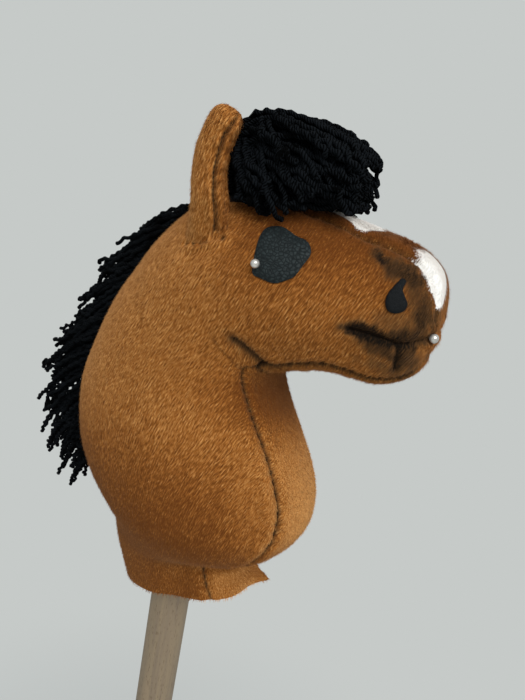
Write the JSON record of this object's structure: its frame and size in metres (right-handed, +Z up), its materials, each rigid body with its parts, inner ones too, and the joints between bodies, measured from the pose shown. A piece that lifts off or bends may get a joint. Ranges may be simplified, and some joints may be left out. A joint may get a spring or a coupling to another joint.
{
  "type": "hobby horse",
  "caption": "Soft padded horse's head with a yarn mane and forelock that slides off a round wooden stick, with pearl-headed pins stuck in it.",
  "frame": {"origin": "centre of the stick's lower end face", "axes": "+Z up along the stick, +X the way the horse looks, +Y the horse's left side"},
  "size_m": [0.2603, 0.099, 0.8442],
  "materials": {
    "beech": "sanded, unvarnished",
    "plush": "short pile",
    "plush_lining": "short pile",
    "fibre": "loose polyester fibre",
    "yarn": "plied wool-like yarn",
    "tape": "woven tape",
    "leatherette": "grained, satin",
    "thread": "matt",
    "pearl": "pearl lustre",
    "steel": "bright"
  },
  "bodies": {
    "stick": {"stick": "beech"},
    "head": {"neck_stuffing": "fibre", "head_stuffing": "fibre", "side_panel_right": "plush", "side_panel_left": "plush", "face_gusset": "plush", "chin_gusset": "plush", "chest_gusset": "plush", "ear_outer_right": "plush", "ear_outer_left": "plush", "ear_lining_right": "plush_lining", "ear_lining_left": "plush_lining", "eye_patch_right": "leatherette", "eye_patch_left": "leatherette", "nostril_patch_right": "leatherette", "nostril_patch_left": "leatherette", "mouth_thread_right": "thread", "mouth_thread_left": "thread", "mane_tape": "tape", "forelock_tape": "tape", "mane_lock_01": "yarn", "mane_lock_02": "yarn", "mane_lock_03": "yarn", "mane_lock_04": "yarn", "mane_lock_05": "yarn", "mane_lock_06": "yarn", "mane_lock_07": "yarn", "mane_lock_08": "yarn", "mane_lock_09": "yarn", "mane_lock_10": "yarn", "mane_lock_11": "yarn", "mane_lock_12": "yarn", "mane_lock_13": "yarn", "mane_lock_14": "yarn", "forelock_lock_1": "yarn", "forelock_lock_2": "yarn", "forelock_lock_3": "yarn", "forelock_lock_4": "yarn", "forelock_lock_5": "yarn", "forelock_lock_6": "yarn"},
    "right_eye_pin": {"right_eye_pin_head": "pearl", "right_eye_pin_shank": "steel"},
    "left_eye_pin": {"left_eye_pin_head": "pearl", "left_eye_pin_shank": "steel"},
    "mouth_pin": {"mouth_pin_head": "pearl", "mouth_pin_shank": "steel"}
  },
  "joints": [
    {"name": "head_slide", "type": "slide", "parent": "stick", "child": "head", "axis": [0, 0, 1], "range_m": [0, 0.2]},
    {"name": "right_eye_pin_pull", "type": "slide", "parent": "head", "child": "right_eye_pin", "axis": [0.0914, -0.9516, 0.2935], "range_m": [0, 0.038]},
    {"name": "left_eye_pin_pull", "type": "slide", "parent": "head", "child": "left_eye_pin", "axis": [0.0914, 0.9516, 0.2935], "range_m": [0, 0.038]},
    {"name": "mouth_pin_pull", "type": "slide", "parent": "head", "child": "mouth_pin", "axis": [0.9606, -0.2641, 0.0872], "range_m": [0, 0.038]}
  ]
}
